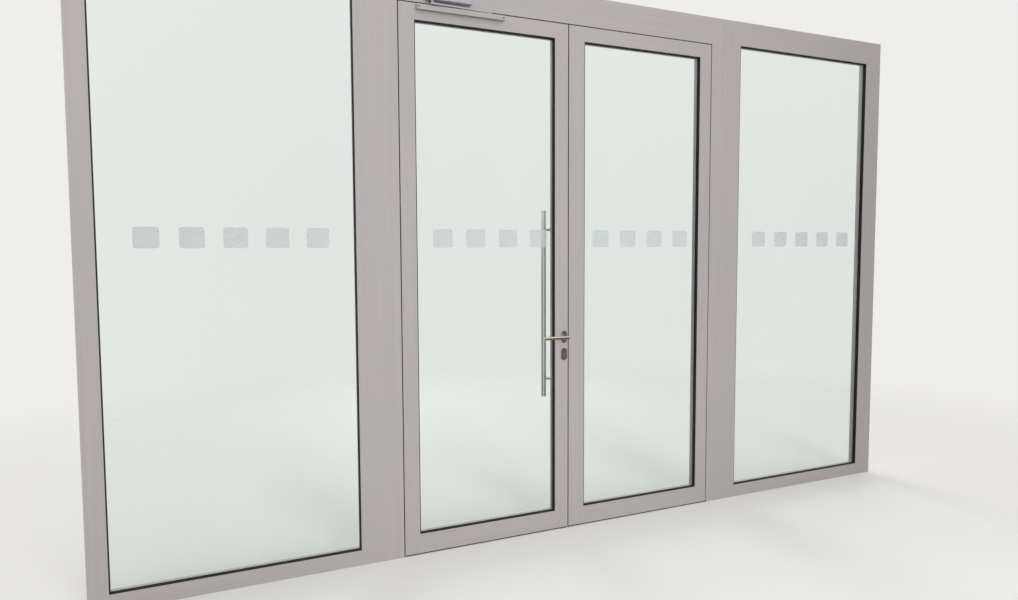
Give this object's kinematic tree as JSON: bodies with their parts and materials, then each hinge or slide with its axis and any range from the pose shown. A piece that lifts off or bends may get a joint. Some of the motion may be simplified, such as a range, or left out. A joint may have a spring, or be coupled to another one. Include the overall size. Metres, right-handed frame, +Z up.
{
  "type": "glazed door screen",
  "caption": "Aluminium entrance screen: two hinged glass leaves between fixed glass side lights, with lever, pull bar and door closer.",
  "frame": {"origin": "on the floor, midway between the jambs' outer faces, in the middle of the frame's depth", "axes": "+X to the right as seen from the room, +Y out to the vestibule side that the leaves open towards, +Z up"},
  "size_m": [4.536, 0.1905, 2.802],
  "materials": {
    "frame_paint": "satin warm grey coating on aluminium profiles",
    "glass": "clear laminated pane",
    "rubber": "matt black",
    "brush": "black bristle strip",
    "lever_metal": "satin",
    "brushed_steel": "brushed",
    "bright_steel": "smooth",
    "hinge_metal": "satin",
    "closer_paint": "satin silver",
    "track_aluminium": "anodised",
    "plastic": "moulded, light grey"
  },
  "bodies": {
    "frame": {"left_jamb": "frame_paint", "right_jamb": "frame_paint", "left_mullion": "frame_paint", "right_mullion": "frame_paint", "left_sill": "frame_paint", "right_sill": "frame_paint", "left_head": "frame_paint", "right_head": "frame_paint", "door_head": "frame_paint", "left_light_glass": "glass", "left_light_gaskets": "rubber", "left_light_beads": "frame_paint", "right_light_glass": "glass", "right_light_gaskets": "rubber", "right_light_beads": "frame_paint", "stop_seal": "rubber", "active_hinge_frame_wings": "hinge_metal", "passive_hinge_frame_wings": "hinge_metal", "closer_body": "closer_paint"},
    "left_leaf": {"active_hinge_stile": "frame_paint", "active_lock_stile": "frame_paint", "active_top_rail": "frame_paint", "active_bottom_rail": "frame_paint", "active_brush": "brush", "active_glass": "glass", "active_gaskets": "rubber", "active_beads": "frame_paint", "meeting_seal": "rubber", "active_hinge_leaf_wings": "hinge_metal", "lock_case": "bright_steel", "lock_forend": "brushed_steel", "cylinder_body": "bright_steel", "lever_rosette": "lever_metal", "room_escutcheon": "lever_metal", "outer_escutcheon": "lever_metal", "pull_bar": "brushed_steel", "pull_bar_caps": "brushed_steel", "pull_posts": "brushed_steel", "closer_track": "track_aluminium", "track_caps": "plastic"},
    "right_leaf": {"passive_hinge_stile": "frame_paint", "passive_keeper_stile": "frame_paint", "passive_top_rail": "frame_paint", "passive_bottom_rail": "frame_paint", "passive_brush": "brush", "passive_glass": "glass", "passive_gaskets": "rubber", "passive_beads": "frame_paint", "passive_hinge_leaf_wings": "hinge_metal", "strike_plate": "brushed_steel", "flush_bolt_plates": "brushed_steel"},
    "lever": {"lever_handle": "lever_metal"},
    "latch": {"latch_bolt": "bright_steel"},
    "deadbolt": {"dead_bolt": "bright_steel"},
    "plug": {"cylinder_plug": "bright_steel"},
    "arm": {"closer_arm": "closer_paint"},
    "slider": {"track_slider": "plastic"},
    "upper_bolt": {"upper_flush_bolt": "bright_steel"},
    "lower_bolt": {"lower_flush_bolt": "bright_steel"}
  },
  "joints": [
    {"name": "left_leaf_swing", "type": "hinge", "parent": "frame", "child": "left_leaf", "pos_m": [-0.9455, 0.04, 1.327], "axis": [0, 0, 1], "range_deg": [0, 90], "stiffness_Nm_per_rad": 4, "springref_deg": -171.89},
    {"name": "right_leaf_swing", "type": "hinge", "parent": "frame", "child": "right_leaf", "pos_m": [0.9235, 0.04, 1.327], "axis": [0, 0, -1], "range_deg": [0, 90]},
    {"name": "lever_turn", "type": "hinge", "parent": "left_leaf", "child": "lever", "pos_m": [-0.05, -0.03, 1.035], "axis": [0, -1, 0], "range_deg": [0, 40], "stiffness_Nm_per_rad": 1.5, "springref_deg": -45.84},
    {"name": "latch_slide", "type": "slide", "parent": "left_leaf", "child": "latch", "axis": [-1, 0, 0], "range_m": [0, 0.0115]},
    {"name": "key_turn", "type": "hinge", "parent": "left_leaf", "child": "plug", "pos_m": [-0.05, 0, 0.943], "axis": [0, -1, 0], "range_deg": [0, 360]},
    {"name": "dead_bolt_throw", "type": "slide", "parent": "left_leaf", "child": "deadbolt", "axis": [1, 0, 0], "range_m": [0, 0.02]},
    {"name": "arm_turn", "type": "hinge", "parent": "frame", "child": "arm", "pos_m": [-0.764, -0.05, 2.647], "axis": [0, 0, 1], "range_deg": [0, 108]},
    {"name": "slider_travel", "type": "slide", "parent": "left_leaf", "child": "slider", "axis": [-1, 0, 0], "range_m": [0, 0.289]},
    {"name": "upper_bolt_slide", "type": "slide", "parent": "right_leaf", "child": "upper_bolt", "axis": [0, 0, 1], "range_m": [0, 0.018]},
    {"name": "lower_bolt_slide", "type": "slide", "parent": "right_leaf", "child": "lower_bolt", "axis": [0, 0, -1], "range_m": [0, 0.018]}
  ],
  "couplings": [
    {"joint": "latch_slide", "follows": "lever_turn", "m_per_rad": 0.01645},
    {"joint": "key_turn", "follows": "dead_bolt_throw", "rad_per_m": 314},
    {"joint": "arm_turn", "follows": "left_leaf_swing", "ratio": 1.1984},
    {"joint": "slider_travel", "follows": "left_leaf_swing", "m_per_rad": 0.1838}
  ]
}
